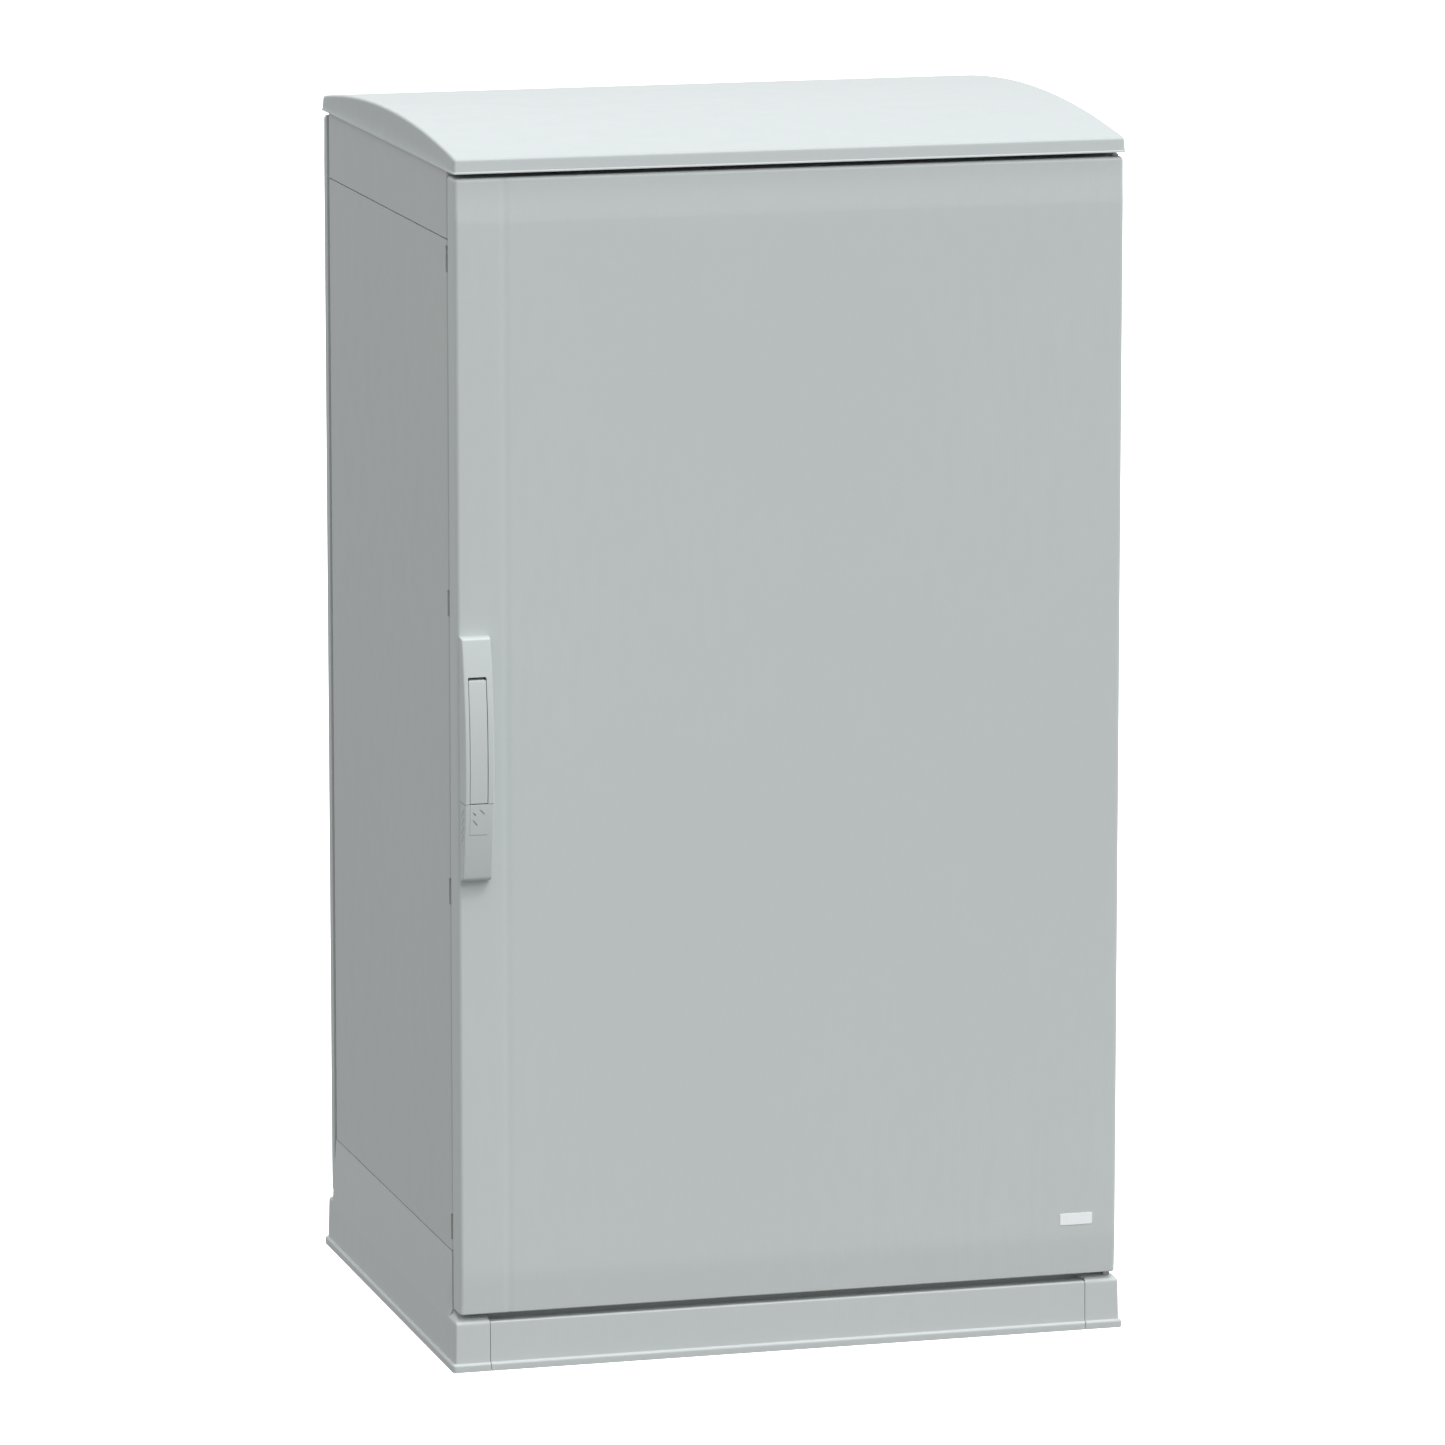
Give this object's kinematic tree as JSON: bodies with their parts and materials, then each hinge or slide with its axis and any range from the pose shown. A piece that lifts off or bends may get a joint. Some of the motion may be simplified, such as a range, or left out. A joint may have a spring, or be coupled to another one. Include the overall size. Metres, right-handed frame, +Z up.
{
  "type": "free-standing outdoor service cabinet",
  "caption": "Outdoor moulded cabinet with an arched rain canopy, a plain hinged door with a bow-shaped lift handle and bar latch, and a spreading plinth over a cable space.",
  "frame": {"origin": "on the floor, at the centre of the plinth's footprint and of its four floor anchor holes", "axes": "+X to the right of a person facing the door, -Y out of the door, +Z up"},
  "size_m": [0.798, 0.6748, 1.4079],
  "materials": {
    "grp_door": "moulded glass-reinforced polyester, light grey, fine satin texture",
    "grp_body": "moulded glass-reinforced polyester, light grey, fine satin texture",
    "grp_canopy": "moulded glass-reinforced polyester, light grey, fine satin texture",
    "grp_plinth": "moulded glass-reinforced polyester, light grey, fine satin texture",
    "handle_plastic": "smooth satin moulded plastic",
    "zinc_steel": "zinc-plated sheet steel",
    "stainless_steel": "plain stainless steel",
    "galvanised_plate": "galvanised sheet with a faint spangle",
    "seal_rubber": "black foamed rubber",
    "guide_nylon": "black nylon",
    "lock_metal": "satin nickel-plated die casting",
    "label_white": "blank white film",
    "earth_brass": "plain brass"
  },
  "bodies": {
    "cabinet": {"plinth_left": "grp_plinth", "plinth_right": "grp_plinth", "plinth_front_cover": "grp_plinth", "plinth_rear_cover": "grp_plinth", "base_rail_left": "galvanised_plate", "base_rail_right": "galvanised_plate", "sill_front": "grp_body", "sill_rear": "grp_body", "sill_bolts": "zinc_steel", "side_panel_left": "grp_body", "side_panel_right": "grp_body", "top_frame": "grp_body", "upright_front_left": "galvanised_plate", "upright_front_right": "galvanised_plate", "upright_rear_left": "galvanised_plate", "upright_rear_right": "galvanised_plate", "roof_seal": "seal_rubber", "roof_panel": "grp_body", "canopy": "grp_canopy", "canopy_bosses": "grp_canopy", "canopy_bolts": "zinc_steel", "rear_panel": "grp_door", "rear_stiffener": "zinc_steel", "rear_seal": "seal_rubber", "rear_panel_screws": "zinc_steel", "gland_plate": "galvanised_plate", "gland_plate_screws": "zinc_steel", "cable_grommets": "seal_rubber", "mounting_plate": "galvanised_plate", "plate_brackets": "zinc_steel", "plate_bolts": "zinc_steel", "bracket_screws": "zinc_steel", "earth_stud": "earth_brass", "hinge_bracket_top": "stainless_steel", "hinge_bracket_bottom": "stainless_steel", "hinge_pin_top": "stainless_steel", "hinge_pin_bottom": "stainless_steel", "thrust_washer": "stainless_steel", "hinge_screws": "stainless_steel", "lock_keepers": "stainless_steel", "keeper_screws": "stainless_steel"},
    "door": {"door_panel": "grp_door", "door_stiffener": "zinc_steel", "door_seal": "seal_rubber", "hinge_bushes": "stainless_steel", "label_plate": "label_white", "handle_housing": "handle_plastic", "handle_screws": "stainless_steel", "lever_pin": "stainless_steel", "rod_guides": "guide_nylon"},
    "lever": {"handle_lever": "handle_plastic", "lever_crank": "zinc_steel", "crank_pins": "stainless_steel"},
    "latch_bar": {"lock_rod": "zinc_steel", "rod_drive_block": "zinc_steel", "lock_studs": "stainless_steel"},
    "cover": {"lock_cover": "handle_plastic"},
    "barrel": {"lock_barrel": "lock_metal", "lock_tongue": "lock_metal"}
  },
  "joints": [
    {"name": "door_hinge", "type": "hinge", "parent": "cabinet", "child": "door", "pos_m": [0.383, -0.307, 0.715], "axis": [0, 0, 1], "range_deg": [0, 120]},
    {"name": "lever_lift", "type": "hinge", "parent": "door", "child": "lever", "pos_m": [-0.371, -0.335, 0.795], "axis": [-1, 0, 0], "range_deg": [0, 50]},
    {"name": "latch_slide", "type": "slide", "parent": "door", "child": "latch_bar", "axis": [0, 0, -1], "range_m": [0, 0.0201]},
    {"name": "cover_slide", "type": "slide", "parent": "door", "child": "cover", "axis": [0, 0, -1], "range_m": [0, 0.036]},
    {"name": "barrel_turn", "type": "hinge", "parent": "door", "child": "barrel", "pos_m": [-0.371, -0.335, 0.652], "axis": [0, -1, 0], "range_deg": [0, 90]}
  ],
  "couplings": [
    {"joint": "latch_slide", "follows": "lever_lift", "m_per_rad": 0.02295}
  ]
}
